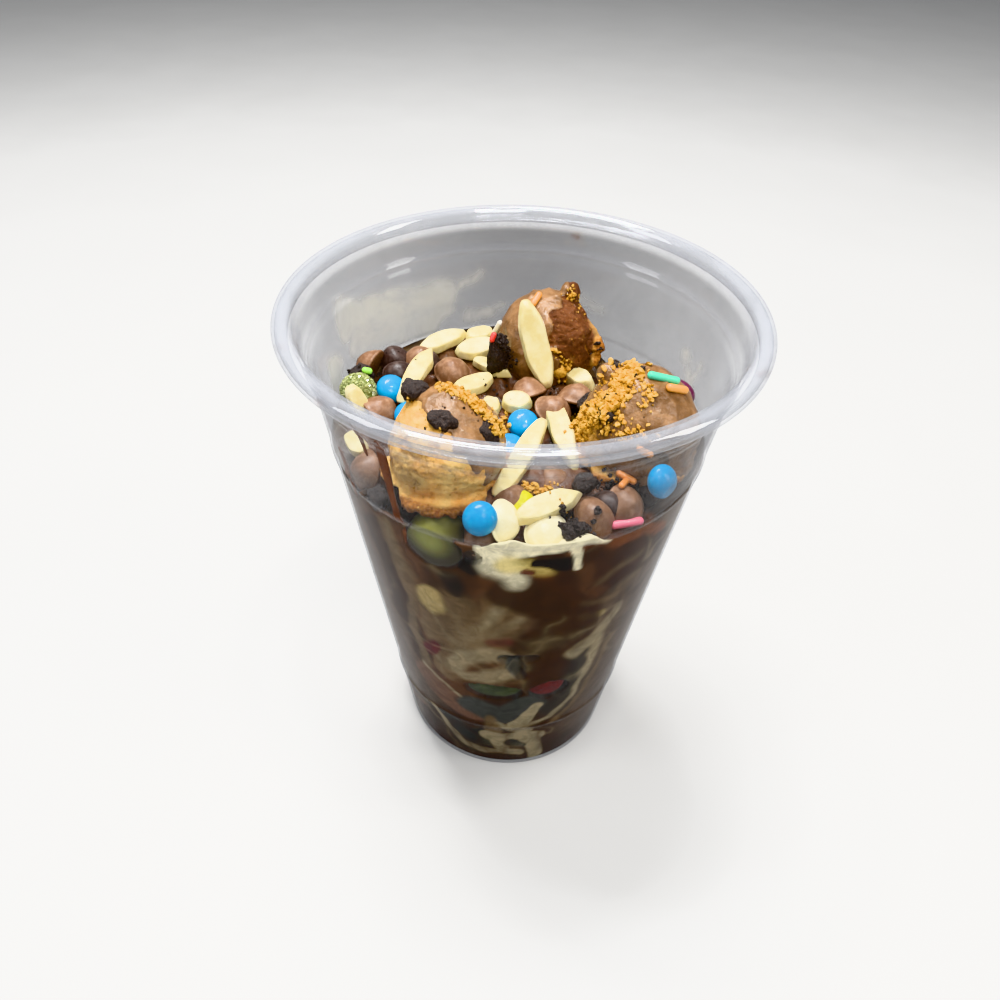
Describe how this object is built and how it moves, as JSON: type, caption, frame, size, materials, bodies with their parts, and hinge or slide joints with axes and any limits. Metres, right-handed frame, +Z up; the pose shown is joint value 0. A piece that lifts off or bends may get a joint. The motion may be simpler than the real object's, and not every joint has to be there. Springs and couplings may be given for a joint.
{
  "type": "waffle dessert in a clear cup",
  "caption": "Clear plastic cold cup filled with bubble waffle, chocolate sauce and cream, heaped with chocolate drops, almonds, cookie chunks and candies.",
  "frame": {"origin": "on the cup's axis, at the plane its foot stands on", "axes": "+Z up along the cup's axis; the side that the picture shows faces -Y"},
  "size_m": [0.095, 0.095, 0.1212],
  "materials": {
    "clear_plastic": "clear, glossy, formed from thin sheet",
    "chocolate_filling": "glossy dark chocolate sauce swirled with milk and white chocolate",
    "waffle": "golden-brown crust under glossy milk chocolate, crumbly where torn",
    "almond": "pale blanched almond, satin",
    "milk_chocolate": "satin milk chocolate",
    "dark_chocolate": "satin dark chocolate with a light bloom",
    "white_chocolate": "satin white chocolate",
    "candy_blue": "glossy sugar shell",
    "candy_purple": "glossy sugar shell",
    "candy_yellow": "glossy sugar shell",
    "cocoa_cookie": "rough, nearly black cocoa crumb",
    "nut": "roasted nut",
    "green_fruit": "glossy green fruit",
    "red_fruit": "wet red fruit",
    "sugar_crust": "granular green sugar with sparkling grains"
  },
  "bodies": {
    "root": {"almond_01": "almond", "almond_02": "almond", "almond_03": "almond", "almond_04": "almond", "almond_05": "almond", "almond_06": "almond", "almond_07": "almond", "almond_08": "almond", "almond_09": "almond", "almond_10": "almond", "almond_11": "almond", "almond_12": "almond", "almond_13": "almond", "almond_14": "almond", "almond_15": "almond", "candy_blue_1": "candy_blue", "candy_blue_2": "candy_blue", "candy_blue_3": "candy_blue", "candy_blue_4": "candy_blue", "candy_blue_5": "candy_blue", "candy_blue_6": "candy_blue", "candy_purple": "candy_purple", "candy_yellow": "candy_yellow", "cookie_01": "cocoa_cookie", "cookie_02": "cocoa_cookie", "cookie_03": "cocoa_cookie", "cookie_04": "cocoa_cookie", "cookie_05": "cocoa_cookie", "cookie_06": "cocoa_cookie", "cookie_07": "cocoa_cookie", "cookie_08": "cocoa_cookie", "cookie_09": "cocoa_cookie", "cookie_10": "cocoa_cookie", "cup": "clear_plastic", "dark_drop_01": "dark_chocolate", "dark_drop_02": "dark_chocolate", "dark_drop_03": "dark_chocolate", "dark_drop_04": "dark_chocolate", "filling": "chocolate_filling", "fruit_green": "green_fruit", "fruit_red": "red_fruit", "grape": "green_fruit", "milk_drop_01": "milk_chocolate", "milk_drop_02": "milk_chocolate", "milk_drop_03": "milk_chocolate", "milk_drop_04": "milk_chocolate", "milk_drop_05": "milk_chocolate", "milk_drop_06": "milk_chocolate", "milk_drop_07": "milk_chocolate", "milk_drop_08": "milk_chocolate", "milk_drop_09": "milk_chocolate", "milk_drop_10": "milk_chocolate", "nut_01": "nut", "sugar_ball": "sugar_crust", "waffle_1": "waffle", "waffle_2": "waffle", "waffle_3": "waffle", "white_drop_01": "white_chocolate", "white_drop_02": "white_chocolate"}
  },
  "joints": []
}
